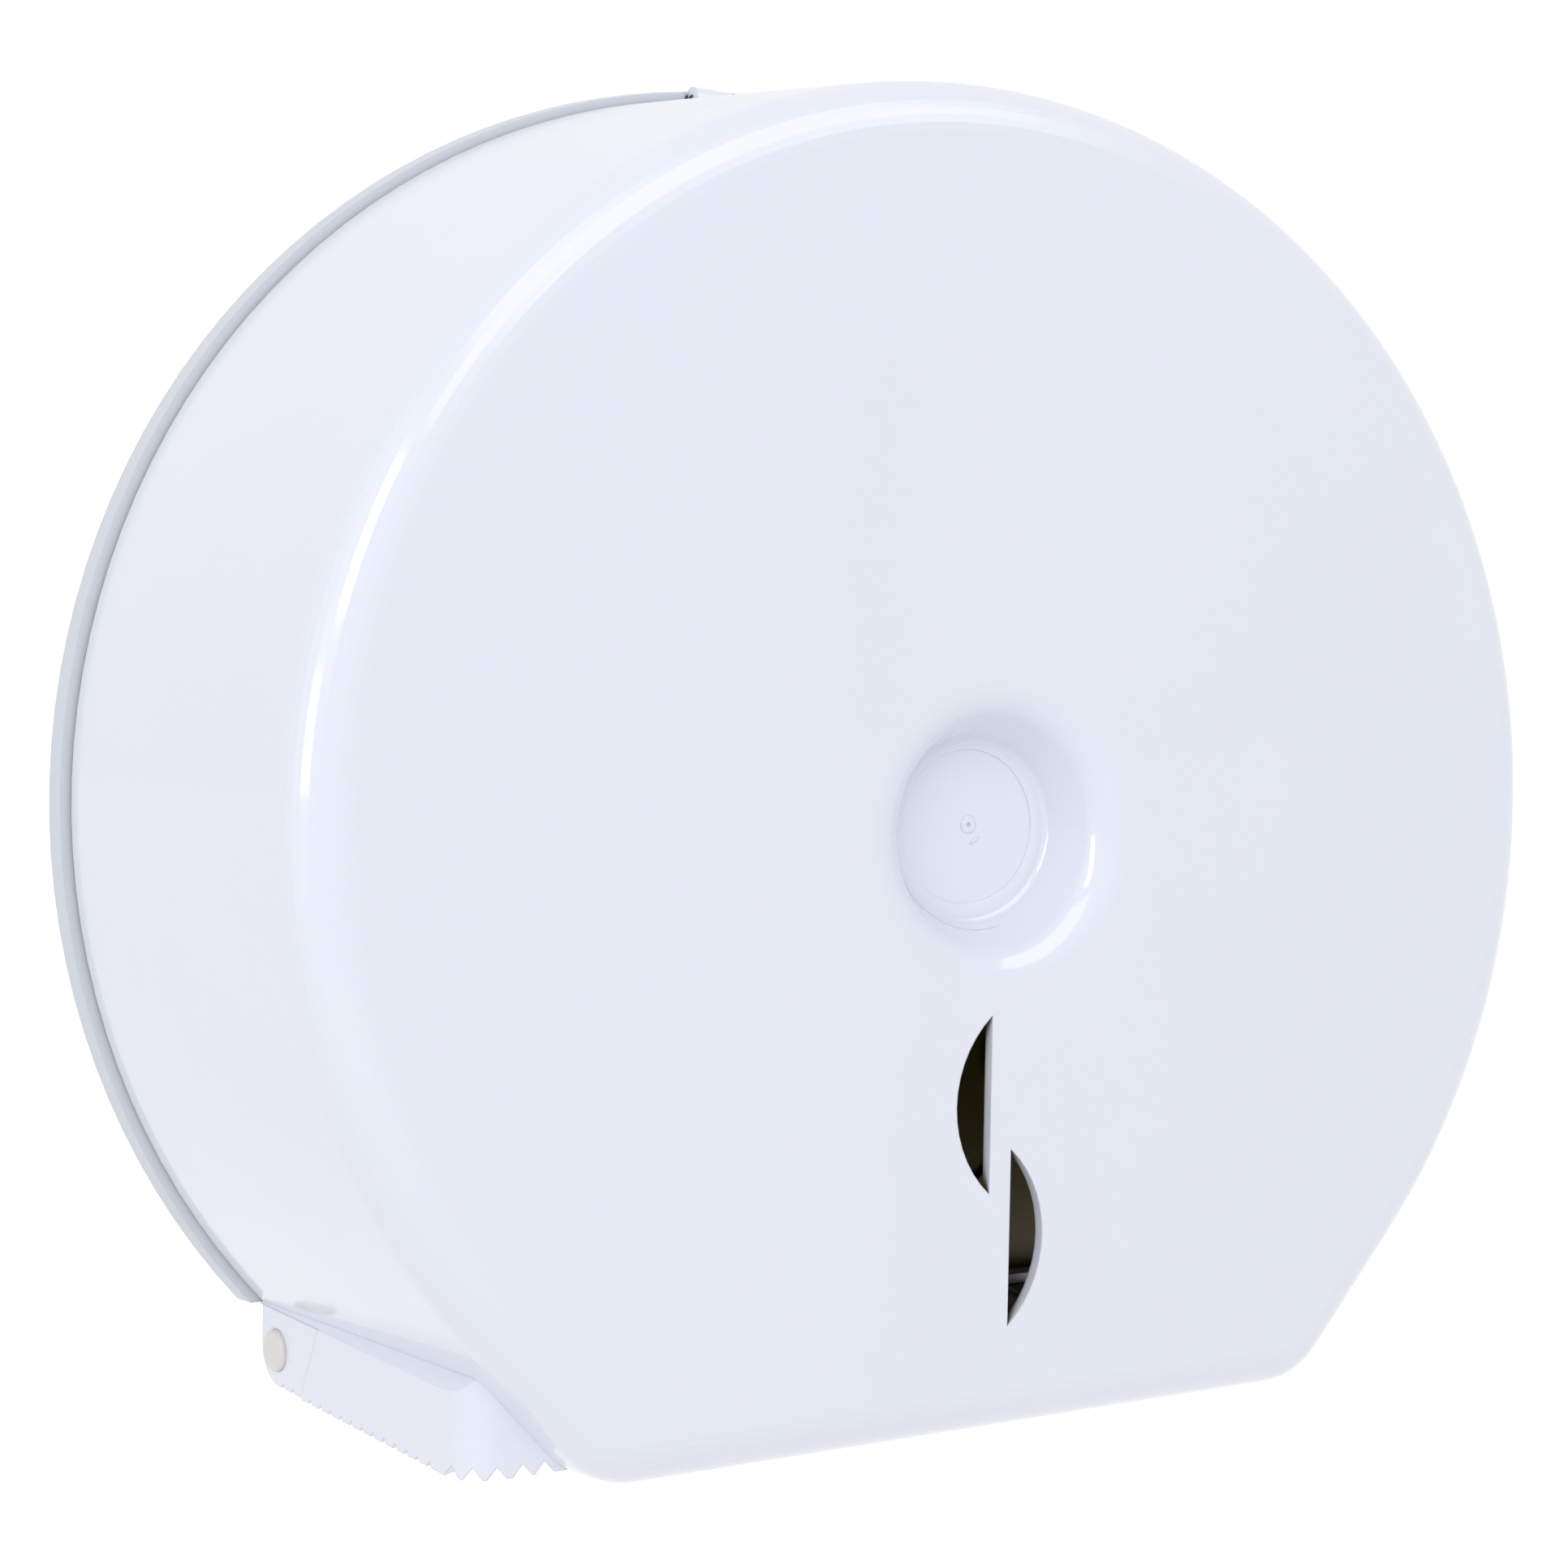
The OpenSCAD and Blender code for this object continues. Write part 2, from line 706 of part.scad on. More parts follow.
// Flat ring round the spindle
module ring_on_spindle(r, u, t) {
    translate([0, 0, u]) difference() {
        cylinder(r = r, h = t);
        translate([0, 0, -past]) cylinder(r = spindle_r + run_gap, h = t + 2 * past);
    }
}

module thrust_washer() {
    color([0.92, 0.92, 0.90]) forward()
        ring_on_spindle(spindle_r + washer_w, foot_top, washer_t);
}

// Turning hub: rear flange with lightening holes, ribbed tube
module core_hub() {
    hole_r = (hub_flange_r - hub_rib_r) / 3.6;
    hub_l = hub_front - hub_back;
    color([0.86, 0.88, 0.91]) forward() translate([0, 0, hub_back]) difference() {
        union() {
            cylinder(r = hub_r, h = hub_l);
            cylinder(r = hub_flange_r, h = hub_flange_t);
            linear_extrude(hub_flange_t + adaptor_l) intersection() {
                circle(hub_rib_r);
                for (i = [0 : 5]) rotate([0, 0, 60 * i])
                    translate([0, -rib_t / 2]) square([2 * hub_r, rib_t]);
            }
        }
        translate([0, 0, -past]) cylinder(r = spindle_r + run_gap, h = hub_l + 2 * past);
        for (i = [0 : 5]) rotate([0, 0, 30 + 60 * i])
            translate([(hub_flange_r + adaptor_r) / 2, 0, -past])
                cylinder(r = hole_r, h = hub_flange_t + 2 * past, $fn = 48);
    }
}

// Double sleeve with ribs between its walls, which fills a 60 mm core
module core_adaptor() {
    bore_r = hub_rib_r + run_gap;
    color([0.82, 0.84, 0.88]) forward() translate([0, 0, hub_back + hub_flange_t])
        linear_extrude(adaptor_l) difference() {
            circle(adaptor_r);
            difference() {
                circle(adaptor_r - adaptor_wall);
                circle(bore_r + adaptor_wall);
                for (i = [0 : 7]) rotate([0, 0, 45 * i])
                    translate([0, -rib_t / 2]) square([2 * adaptor_r, rib_t]);
            }
            circle(bore_r);
        }
}

module brake_washer() {
    color([0.30, 0.31, 0.33]) forward()
        ring_on_spindle(spindle_r + brake_w, spindle_end - brake_t, brake_t);
}

// Cap with a spigot in the spindle's open end
module retainer_cap() {
    fit_r = spindle_r - tube_wall - run_gap;
    color([0.90, 0.92, 0.96]) forward() translate([0, 0, spindle_end]) difference() {
        union() {
            cylinder(r = cap_r, h = cap_t);
            translate([0, 0, -spigot_l]) cylinder(r = fit_r, h = spigot_l);
        }
        translate([0, 0, -spigot_l - past])
            cylinder(r = cap_screw_r + run_gap, h = spigot_l + cap_t + 2 * past, $fn = 24);
        translate([0, 0, cap_t - head_t])
            cylinder(r = head_r + seat_gap, h = 2 * head_t, $fn = 32);
    }
}

module cap_screw() {
    color([0.72, 0.73, 0.75]) forward()
        translate([0, 0, spindle_end + cap_t - head_t]) mirror([0, 0, 1])
            screw(cap_screw_r, 2 * spigot_l);
}

back_plate();
front_cover();
hinge_pin();
release_button_left();
release_button_right();
latch_spring_left();
latch_spring_right();
latch_screws();
spindle();
spindle_screws();
thrust_washer();
core_hub();
core_adaptor();
brake_washer();
retainer_cap();
cap_screw();
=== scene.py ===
"""Jumbo toilet roll dispenser: finishes, details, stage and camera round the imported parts."""

import math

import bmesh
import bpy
from bpy.props import FloatProperty, FloatVectorProperty, PointerProperty
from mathutils import Matrix, Vector


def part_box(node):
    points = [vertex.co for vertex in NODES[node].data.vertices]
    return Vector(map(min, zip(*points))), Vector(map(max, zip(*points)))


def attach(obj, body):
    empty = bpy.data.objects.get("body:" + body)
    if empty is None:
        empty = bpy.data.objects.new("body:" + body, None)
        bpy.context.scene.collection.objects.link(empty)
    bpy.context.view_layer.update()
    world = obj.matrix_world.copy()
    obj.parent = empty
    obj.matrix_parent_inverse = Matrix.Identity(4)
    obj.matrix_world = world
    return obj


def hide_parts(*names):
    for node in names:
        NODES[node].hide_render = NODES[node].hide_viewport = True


bl_info = {
    "name": "Jumbo toilet roll dispenser",
    "version": (1, 0, 0),
    "blender": (4, 5, 0),
    "location": "View3D > Sidebar > Dispenser",
    "description": "Finishes and details of a wall-mounted jumbo toilet roll dispenser",
    "category": "Object",
}

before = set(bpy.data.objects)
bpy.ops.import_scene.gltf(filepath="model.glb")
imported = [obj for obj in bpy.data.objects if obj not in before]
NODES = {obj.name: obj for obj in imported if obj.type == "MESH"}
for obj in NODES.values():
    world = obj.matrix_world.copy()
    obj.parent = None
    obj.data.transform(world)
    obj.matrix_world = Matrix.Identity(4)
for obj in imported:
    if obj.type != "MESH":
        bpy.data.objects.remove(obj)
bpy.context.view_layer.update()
MM = 0.001

# ---------------------------------------------------------------- places of the pieces
FRONT_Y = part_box("front_cover")[0].y        # the cover's front face
DIMPLE_Z = -3.5 * MM                        # height of the dimple's centre
DIMPLE_FLOOR_Y = FRONT_Y + 14.5 * MM        # the dimple's flat floor
DIMPLE_FLOOR_R = 19 * MM
DIMPLE_SLOPE = math.tan(math.radians(64))   # rise of the funnel's straight part
DRAFT = math.radians(10)
BUTTON_LO, BUTTON_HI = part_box("release_button_right")
BUTTON_Z = (BUTTON_LO.z + BUTTON_HI.z) / 2
BUTTON_U = 12.7 * MM                        # distance of the button from the wall
ZONE_X = 123.186 * MM                       # half width over the faces round the buttons
SPRING_Z = -5.86 * MM                       # latch spring's outer face, from those faces
SPRING_T = 0.6 * MM
SPRING_W = 8 * MM
LATCH_SCREW = -24 * MM                      # latch screw's place along the spring
SCREW_HEAD = (3, 1.6)                       # radius and height of every screw's head, mm
SCREW_CIRCLE = 26 * MM                      # radius on which the spindle's screws sit
RAIL_RISE = (-126.2 * MM, -123.8 * MM)      # painted light on the plate's rail, rising from foot to top edge
RAIL_FRONT = (-5.5 * MM, -5.2 * MM)         # from its front to where the plate hides it
RAIL_TOP = (-123.4 * MM, -123.1 * MM)       # where its top edge ends

# ---------------------------------------------------------------- values of the finishes
PAINTED_SHADE_COLOR = (0.120, 0.084, 0.014, 1.0)         # painted shade colour, a warm dark, for the closed case's inside
CASE_REACH = 0.38                           # how far the case's own walls reach for the painted shade
WALL_SHADE_OPENNESS = (0.22, 0.36)                  # openness at which a wall's painted shade is full and gone
PLATE_SHADE_OPENNESS = (0.28, 0.42)                  # the same painted shade for the plate behind the outlets
WEB_SHADE_OPENNESS = (0.40, 0.65)                   # the same painted shade for the webs in the outlets
SATIN_HEIGHTS = (0.04, 0.17)                # where the cover's gloss turns to satin
SATIN_ROUGHNESS = (0.07, 0.29)              # coat roughness at those heights
SATIN_SHARE = 0.7                           # share of the coat left at the top
COAT_ROUGHNESS = 0.05
PLASTIC_IOR = 1.49
EDGE_SOFTNESS = 0.5 * MM                    # radius with which sharp edges catch light
CREASE = math.radians(40)                   # faces that meet at more than this stay sharp
NYLON = (0.80, 0.80, 0.77)

# ---------------------------------------------------------------- stage
# degrees to the right, degrees up, distance, roll; width, height; gloss only
LAMPS = {
    "key": ((-36, 24, 2.0, 0), (1.6, 1.6), False),
    "side_softbox": ((-72, 10, 2.2, 0), (1.2, 3.3), True),
    "side_window": ((-60, 17, 1.6, -28), (0.3, 1.1), True),
    "top_softbox": ((4, 51, 1.6, 0), (1.9, 0.9), True),
}
FLOOR_REACH = 30.0


# ---------------------------------------------------------------- node helpers
class Shader:
    """A material's node tree with short calls for what the finishes need."""

    def __init__(self, name):
        self.material = bpy.data.materials.new(name)
        self.material.use_nodes = True
        self.tree = self.material.node_tree
        self.tree.nodes.clear()
        self.bsdf = self.add("ShaderNodeBsdfPrincipled")
        self.out = self.add("ShaderNodeOutputMaterial")
        self.link(self.bsdf.outputs["BSDF"], self.out.inputs["Surface"])
        self.place = self.add("ShaderNodeTexCoord").outputs["Object"]
        self.soft_edge = None

    def add(self, kind, **settings):
        node = self.tree.nodes.new(kind)
        for key, value in settings.items():
            setattr(node, key, value)
        return node

    def link(self, source, target):
        self.tree.links.new(source, target)

    def scaled_place(self, scale):
        mapping = self.add("ShaderNodeMapping")
        mapping.inputs["Scale"].default_value = scale
        self.link(self.place, mapping.inputs["Vector"])
        return mapping.outputs["Vector"]

    def noise(self, scale, detail=2.0, roughness=0.5, stretch=(1, 1, 1)):
        node = self.add("ShaderNodeTexNoise")
        node.inputs["Scale"].default_value = scale
        node.inputs["Detail"].default_value = detail
        node.inputs["Roughness"].default_value = roughness
        self.link(self.scaled_place(stretch), node.inputs["Vector"])
        return node.outputs["Fac"]

    def remap(self, value, low, high, to_low, to_high, smooth=False):
        node = self.add("ShaderNodeMapRange")
        node.interpolation_type = "SMOOTHSTEP" if smooth else "LINEAR"
        self.link(value, node.inputs["Value"])
        node.inputs["From Min"].default_value = low
        node.inputs["From Max"].default_value = high
        node.inputs["To Min"].default_value = to_low
        node.inputs["To Max"].default_value = to_high
        return node.outputs["Result"]

    def mix(self, factor, first, second):
        node = self.add("ShaderNodeMix", data_type="RGBA")
        for socket, value in ((0, factor), (6, first), (7, second)):
            target = node.inputs[socket]
            if isinstance(value, bpy.types.NodeSocket):
                self.link(value, target)
            else:
                target.default_value = value
        return node.outputs[2]

    def bump(self, height, strength, distance):
        node = self.add("ShaderNodeBump")
        node.inputs["Strength"].default_value = strength
        node.inputs["Distance"].default_value = distance
        self.link(height, node.inputs["Height"])
        if self.soft_edge:
            self.link(self.soft_edge, node.inputs["Normal"])
        self.link(node.outputs["Normal"], self.bsdf.inputs["Normal"])

    def soften_edges(self, radius):
        """Lets sharp edges catch the light as if they were slightly rounded."""
        node = self.add("ShaderNodeBevel", samples=4)
        node.inputs["Radius"].default_value = radius
        self.soft_edge = node.outputs["Normal"]

    def coordinate(self, axis):
        node = self.add("ShaderNodeSeparateXYZ")
        self.link(self.place, node.inputs["Vector"])
        return node.outputs[axis]

    def times(self, first, second):
        node = self.add("ShaderNodeMath", operation="MULTIPLY")
        self.link(first, node.inputs[0])
        self.link(second, node.inputs[1])
        return node.outputs[0]

    def paint_case_shade(self, color, painted_light_share=None, openness=WALL_SHADE_OPENNESS):
        """Darkens a colour with painted shade where the surface lies far inside the closed
        case.
        """
        occlusion = self.add("ShaderNodeAmbientOcclusion", samples=16)
        occlusion.inputs["Distance"].default_value = CASE_REACH
        shade = self.remap(occlusion.outputs["AO"], *openness, 0, 1, smooth=True)
        # painted light: a share given here lifts the painted shade off the surface
        if painted_light_share is not None:
            spare = self.add("ShaderNodeMath", operation="MAXIMUM")
            self.link(shade, spare.inputs[0])
            self.link(painted_light_share, spare.inputs[1])
            shade = spare.outputs[0]
        return self.mix(shade, PAINTED_SHADE_COLOR, color)


def lighter(color, factor):
    return tuple(min(1.0, c * factor) for c in color[:3]) + (1.0,)


def moulded_plastic(name, color, roughness, coat=0.0, grain=0.0, painted_shade_openness=WALL_SHADE_OPENNESS, rail=False,
                    gloss=0.5, satin_top=False, soft_edges=True):
    """Injection-moulded plastic: faint flow marks, slight waves, softened edges, and painted
    shade where it lies inside the case.
    """
    s = Shader(name)
    if soft_edges:
        s.soften_edges(EDGE_SOFTNESS)
    flow = s.remap(s.noise(9, 3, 0.55, (1, 1, 0.4)), 0.3, 0.7, 0, 1)
    base = s.mix(flow, lighter(color, 0.985), lighter(color, 1.012))
    # painted shade: the colour darkens where the case's own walls occlude the surface
    if painted_shade_openness:
        painted_light_share = None
        # painted light: the rail's front strip is kept out of the painted shade, lighter
        # towards its top edge
        if rail:
            above = s.remap(s.coordinate("Z"), *RAIL_RISE, 0.6, 1.0)
            ahead = s.remap(s.coordinate("Y"), *RAIL_FRONT, 1, 0)
            below = s.remap(s.coordinate("Z"), *RAIL_TOP, 1, 0)
            painted_light_share = s.times(s.times(above, ahead), below)
        base = s.paint_case_shade(base, painted_light_share, painted_shade_openness)
    s.link(base, s.bsdf.inputs["Base Color"])
    rough = s.remap(s.noise(60, 4), 0.3, 0.7, roughness * 0.88, roughness * 1.12)
    s.link(rough, s.bsdf.inputs["Roughness"])
    s.bsdf.inputs["IOR"].default_value = PLASTIC_IOR
    s.bsdf.inputs["Specular IOR Level"].default_value = gloss
    s.bsdf.inputs["Coat Weight"].default_value = coat
    s.bsdf.inputs["Coat Roughness"].default_value = COAT_ROUGHNESS
    if satin_top:
        s.link(s.remap(s.coordinate("Z"), *SATIN_HEIGHTS, *SATIN_ROUGHNESS),
               s.bsdf.inputs["Coat Roughness"])
        s.link(s.remap(s.coordinate("Z"), *SATIN_HEIGHTS, coat, SATIN_SHARE * coat),
               s.bsdf.inputs["Coat Weight"])
    if grain:
        s.bump(s.noise(1100, 3, 0.6), 0.25, grain)
    else:
        s.bump(s.noise(38, 2, 0.4), 0.03, 0.0006)
    return s.material


def rolled_steel(name, color, roughness, stretch):
    """Bright steel with the fine lines of rolling or plating, and painted shade where it lies
    inside the case.
    """
    s = Shader(name)
    lines = s.noise(900, 4, 0.6, stretch)
    base = s.mix(lines, lighter(color, 0.86), lighter(color, 1.06))
    # painted shade on the steel where the case's walls occlude it
    s.link(s.paint_case_shade(base), s.bsdf.inputs["Base Color"])
    s.bsdf.inputs["Metallic"].default_value = 1.0
    s.link(s.remap(lines, 0.3, 0.7, roughness * 0.75, roughness * 1.25),
           s.bsdf.inputs["Roughness"])
    s.bump(lines, 0.15, 0.00005)
    return s.material


def soft_rubber(name, color):
    """Dull rubber with fine specks."""
    s = Shader(name)
    specks = s.remap(s.noise(1500, 2, 0.7), 0.35, 0.65, 0, 1)
    s.link(s.mix(specks, lighter(color, 0.8), lighter(color, 1.3)),
           s.bsdf.inputs["Base Color"])
    s.bsdf.inputs["Roughness"].default_value = 0.85
    s.bump(s.noise(2500, 3, 0.7), 0.4, 0.00008)
    return s.material


def set_material(obj, material):
    obj.data.materials.clear()
    obj.data.materials.append(material)


def smooth_node(name, material, angle=32):
    """Gives a carried part its finish and shades its rounded faces smoothly."""
    obj = NODES[name]
    set_material(obj, material)
    for polygon in obj.data.polygons:
        polygon.use_smooth = True
    obj.data.set_sharp_from_angle(angle=math.radians(angle))


def mesh_piece(name, build, body, material):
    """Makes a piece from a function that fills a bmesh in the part's frame."""
    mesh = bpy.data.meshes.new(name)
    bm = bmesh.new()
    build(bm)
    bmesh.ops.recalc_face_normals(bm, faces=bm.faces)
    bm.to_mesh(mesh)
    bm.free()
    obj = bpy.data.objects.new(name, mesh)
    bpy.context.scene.collection.objects.link(obj)
    mesh.materials.append(material)
    for polygon in mesh.polygons:
        polygon.use_smooth = True
    mesh.set_sharp_from_angle(angle=CREASE)
    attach(obj, body)
    return obj


def lathe(bm, profile, place, steps=96, closed=True):
    """Turns (radius, height) points round the local Z axis; radius 0 makes a pole."""
    rings = []
    for r, h in profile:
        count = steps if r > 0 else 1
        turns = (2 * math.pi * i / steps for i in range(count))
        rings.append([bm.verts.new(place @ Vector((r * math.cos(a), r * math.sin(a), h)))
                      for a in turns])
    for low, high in zip(rings, rings[1:] + (rings[:1] if closed else [])):
        for i in range(steps):
            k = (i + 1) % steps
            corners = (low[i % len(low)], low[k % len(low)],
                       high[k % len(high)], high[i % len(high)])
            bm.faces.new(dict.fromkeys(corners))


def in_mm(points):
    return [(r * MM, h * MM) for r, h in points]


def rounded(corners, radius, steps=4):
    """Rounds the corners of an open outline; corners on the axis stay sharp."""
    out = [corners[0]]
    for before, here, after in zip(corners, corners[1:], corners[2:]):
        b, h, a = Vector(before), Vector(here), Vector(after)
        cut = min(radius, (b - h).length / 2, (a - h).length / 2)
        start, end = h + (b - h).normalized() * cut, h + (a - h).normalized() * cut
        for i in range(steps + 1):
            t = i / steps
            out.append(tuple((1 - t) ** 2 * start + 2 * t * (1 - t) * h + t * t * end))
    return out + [corners[-1]]


def sweep(bm, path, sides, section):
    """Runs a closed section of (across, up) points along a path; sides gives the two axes."""
    rings = []
    for point, (across, up) in zip(path, sides):
        rings.append([bm.verts.new(point + across * a + up * b) for a, b in section])
    n = len(section)
    for low, high in zip(rings, rings[1:]):
        for i in range(n):
            bm.faces.new((low[i], low[(i + 1) % n], high[(i + 1) % n], high[i]))
    bm.faces.new(rings[0])
    bm.faces.new(rings[-1])


def facing_front(x, y, z):
    """Places local Z so that it points out of the wall."""
    return Matrix.Translation((x, y, z)) @ Matrix.Rotation(math.radians(90), 4, "X")


def at_latch(side):
    """Frame on the face round a button: X to the rear along it, Z out through it."""
    place = (facing_front(0, 0, 0) @ Matrix.Translation((ZONE_X, BUTTON_Z, BUTTON_U))
             @ Matrix.Rotation(math.radians(90) - DRAFT, 4, "Y"))
    return place if side == "right" else Matrix.Diagonal((-1, 1, 1, 1)) @ place


def cut_from(obj, build):
    """Takes a shape, whose parts may cross, away from a piece and keeps what is left."""
    mesh = bpy.data.meshes.new("cutter")
    bm = bmesh.new()
    build(bm)
    bmesh.ops.recalc_face_normals(bm, faces=bm.faces)
    bm.to_mesh(mesh)
    bm.free()
    cutter = bpy.data.objects.new("cutter", mesh)
    bpy.context.scene.collection.objects.link(cutter)
    boolean = obj.modifiers.new("cut", "BOOLEAN")
    boolean.operation = "DIFFERENCE"
    boolean.solver = "EXACT"
    boolean.use_self = True
    boolean.object = cutter
    bpy.context.view_layer.update()
    graph = bpy.context.evaluated_depsgraph_get()
    result = bpy.data.meshes.new_from_object(obj.evaluated_get(graph))
    obj.modifiers.remove(boolean)
    if not result.polygons:
        raise RuntimeError("nothing is left of " + obj.name)
    old, name = obj.data, obj.data.name
    obj.data = result
    bpy.data.meshes.remove(old)
    result.name = name
    bpy.data.objects.remove(cutter)
    bpy.data.meshes.remove(mesh)


def cross_recess(bm, place, reach, depth, width):
    """Cross-shaped recess that narrows towards its foot."""
    for turn in (0, 90):
        spun = place @ Matrix.Rotation(math.radians(turn), 4, "Z")
        ring = {}
        for level, shrink in ((depth, 1.0), (-depth, 0.45)):
            ring[level] = [bm.verts.new(spun @ Vector((sx * reach * shrink,
                                                       sy * width / 2 * shrink, level)))
                           for sx, sy in ((-1, -1), (1, -1), (1, 1), (-1, 1))]
        low, high = ring[-depth], ring[depth]
        for i in range(4):
            k = (i + 1) % 4
            bm.faces.new((low[i], low[k], high[k], high[i]))
        bm.faces.new(low)
        bm.faces.new(high)


def screws(name, places, shank, body, node, material):
    """Pan-head screws with a cross recess; local Z points out of each head."""
    head_r, head_h = SCREW_HEAD
    shank_r, shank_l = shank
    profile = ([(0, head_h), (head_r * 0.5, head_h * 0.97), (head_r * 0.82, head_h * 0.80),
                (head_r, head_h * 0.42), (head_r, 0), (shank_r, 0)]
               + [(shank_r * (1 - 0.12 * (i % 2)), -shank_l * (i + 1) / 13)
                  for i in range(12)] + [(0, -shank_l)])

    def build(bm):
        for place in places:
            lathe(bm, in_mm(profile), place, 40, closed=False)

    def recess(bm):
        for place in places:
            top = place @ Matrix.Translation((0, 0, head_h * MM))
            cross_recess(bm, top, head_r * 0.55 * MM, head_h * 0.6 * MM, head_r * 0.26 * MM)

    obj = mesh_piece(name, build, body, material)
    cut_from(obj, recess)
    obj.data.set_sharp_from_angle(angle=CREASE)
    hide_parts(node)


# ---------------------------------------------------------------- settings
class DispenserColors(bpy.types.PropertyGroup):
    cover: FloatVectorProperty(
        name="Cover", description="Colour of the drum cover", subtype="COLOR",
        min=0, max=1, default=(0.79, 0.817, 0.92))
    plate: FloatVectorProperty(
        name="Back plate", description="Colour of the wall plate", subtype="COLOR",
        min=0, max=1, default=(0.64, 0.68, 0.76))
    button: FloatVectorProperty(
        name="Buttons", description="Colour of the push buttons", subtype="COLOR",
        min=0, max=1, default=(0.735, 0.71, 0.69))
    hub: FloatVectorProperty(
        name="Hub", description="Colour of the spindle and hub", subtype="COLOR",
        min=0, max=1, default=(0.70, 0.74, 0.80))
    steel: FloatVectorProperty(
        name="Steel", description="Colour of screws, pin and springs", subtype="COLOR",
        min=0, max=1, default=(0.62, 0.63, 0.65))
    rubber: FloatVectorProperty(
        name="Rubber", description="Colour of the brake washer", subtype="COLOR",
        min=0, max=1, default=(0.045, 0.047, 0.05))


class DispenserStage(bpy.types.PropertyGroup):
    daylight: FloatProperty(
        name="Daylight", description="Strength of the even light from all sides",
        min=0, max=3, default=0.83)
    key: FloatProperty(
        name="Key lamp", description="Power of the soft lamp at the upper left",
        min=0, max=200, default=9.8, unit="POWER")
    side_softbox: FloatProperty(
        name="Side softbox", description="Power of the gloss-only lamp at the left",
        min=0, max=200, default=4.5, unit="POWER")
    side_window: FloatProperty(
        name="Side window", description="Power of the small gloss-only lamp at the left",
        min=0, max=200, default=6.5, unit="POWER")
    top_softbox: FloatProperty(
        name="Top softbox", description="Power of the gloss-only lamp above the front",
        min=0, max=200, default=10.5, unit="POWER")
    floor_drop: FloatProperty(
        name="Floor drop", description="Distance from the drum's centre to the floor",
        min=0.2, max=2, default=0.55, unit="LENGTH")


def colors():
    return bpy.context.scene.dispenser_colors


# ---------------------------------------------------------------- operators
class MakeCover(bpy.types.Operator):
    """Finish the drum cover and the moulding marks in its dimple"""
    bl_idname = "dispenser.cover"
    bl_label = "Drum cover"

    def execute(self, context):
        material = moulded_plastic("cover_white", colors().cover, 0.34, coat=1.0,
                                   gloss=0.2, satin_top=True)
        smooth_node("front_cover", material)
        mesh_piece("dimple_ring", dimple_ring, "cover", material)
        lining = moulded_plastic("cover_white_dimple", colors().cover, 0.34, coat=1.0,
                                 gloss=0.2, satin_top=True, soft_edges=False)
        mesh_piece("dimple_lining", dimple_lining, "cover", lining)
        mesh_piece("dimple_witness_line", witness_line, "cover", material)
        mesh_piece("dimple_gate_mark", gate_mark, "cover", material)
        # painted shade on the webs in the outlets, stronger than on the walls
        inner = moulded_plastic("cover_white_inner", colors().cover, 0.5, painted_shade_openness=WEB_SHADE_OPENNESS)
        mesh_piece("outlet_corner_webs", outlet_webs, "cover", inner)
        return {"FINISHED"}


def dimple_ring(bm):
    """Flat ring on the dimple's floor, which leaves a shallow disc inside it."""
    place = facing_front(-0.5 * MM, DIMPLE_FLOOR_Y, DIMPLE_Z + 0.8 * MM)
    corners = [(16.1, -0.1), (16.2, 0.28), (16.4, 0.40), (16.8, 0.45), (18.6, 0.40),
               (20.7, 0.36), (20.7, -0.1)]
    lathe(bm, in_mm(corners), place, 128)


def dimple_lining(bm):
    """Smooth face of the dimple: rounded foot, funnel and rounded lip."""
    foot_r, lip_r, slope = 3.0, 9.0, 64
    floor_r = DIMPLE_FLOOR_R / MM - foot_r * math.tan(math.radians(slope / 2))
    lip_x, lip_h = 31.7, 14.5 - lip_r

    def outline(lift, edge_lift):
        foot = [(floor_r + (foot_r - lift) * math.sin(a),
                 foot_r - (foot_r - lift) * math.cos(a))
                for a in (math.radians(slope * i / 8) for i in range(9))]
        lip = []
        for i in range(13):
            a = math.radians(slope - (slope - 18) * i / 12)
            r = lip_r + lift + (edge_lift - lift) * i / 12
            lip.append((lip_x - r * math.sin(a), lip_h + r * math.cos(a)))
        return foot + lip

    profile = ([(floor_r - 0.3, -0.1)] + outline(0.03, 0.004) + outline(-0.3, -0.3)[::-1])
    lathe(bm, in_mm(profile), facing_front(0, DIMPLE_FLOOR_Y, DIMPLE_Z), 128)


def witness_line(bm):
    """Fine raised line along the lower left of the funnel's foot."""
    centre, radius, size = Vector((0.3 * MM, -1.8 * MM)), 18.9 * MM, 0.16 * MM
    path, sides = [], []
    steps = 40
    for i in range(steps + 1):
        angle = math.radians(195 + 92 * i / steps)
        outward = Vector((math.cos(angle), math.sin(angle)))
        at = centre + radius * outward
        rise = max(0.0, at.length - DIMPLE_FLOOR_R) * DIMPLE_SLOPE
        path.append(Vector((at.x, DIMPLE_FLOOR_Y - rise - size / 2, DIMPLE_Z + at.y)))
        taper = math.sin(math.pi * (0.04 + 0.92 * i / steps)) ** 0.5
        sides.append((Vector((outward.x, 0, outward.y)) * taper, Vector((0, -1, 0)) * taper))
    turns = [2 * math.pi * i / 8 for i in range(8)]
    sweep(bm, path, sides, [(size * math.cos(t), size * math.sin(t)) for t in turns])


